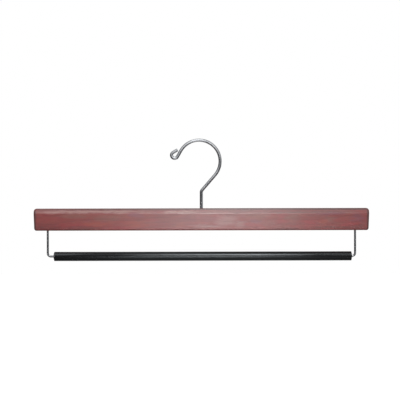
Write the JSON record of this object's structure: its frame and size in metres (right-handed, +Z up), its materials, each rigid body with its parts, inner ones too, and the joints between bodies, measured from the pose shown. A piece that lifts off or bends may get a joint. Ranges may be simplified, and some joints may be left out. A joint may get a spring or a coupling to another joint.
{
  "type": "trouser hanger",
  "caption": "Wooden trouser hanger: a bevelled bar on a swivelling wire hook, with a wire bail below that carries a turning round tube for folded trousers.",
  "frame": {"origin": "highest point inside the hook's loop, where the hanger sits on a closet rod", "axes": "+Z up, +X along the bar, -Y the front face, with the hook's mouth towards -X"},
  "size_m": [0.3798, 0.014, 0.1386],
  "materials": {
    "red_wood": "satin lacquer over red wood, grain along the bar",
    "hook_chrome": "bright plated wire",
    "fixing_steel": "zinc plated",
    "nylon": "natural nylon",
    "bail_steel": "bright drawn wire",
    "black_gloss": "glossy black",
    "black_bush": "satin black"
  },
  "bodies": {
    "hook": {"swivel_hook": "hook_chrome", "lock_nut": "fixing_steel", "lock_nut_insert": "nylon"},
    "bar": {"crossbar": "red_wood", "hook_washer": "fixing_steel", "trouser_bail": "bail_steel"},
    "roller": {"roller_tube": "black_gloss", "end_bush_left": "black_bush", "end_bush_right": "black_bush"}
  },
  "joints": [
    {"name": "hook_swivel", "type": "hinge", "parent": "hook", "child": "bar", "pos_m": [0.0025, 0, -0.0755], "axis": [0, 0, 1], "continuous": true},
    {"name": "tube_roll", "type": "hinge", "parent": "bar", "child": "roller", "pos_m": [0.004, 0, -0.1298], "axis": [1, 0, 0], "continuous": true}
  ]
}
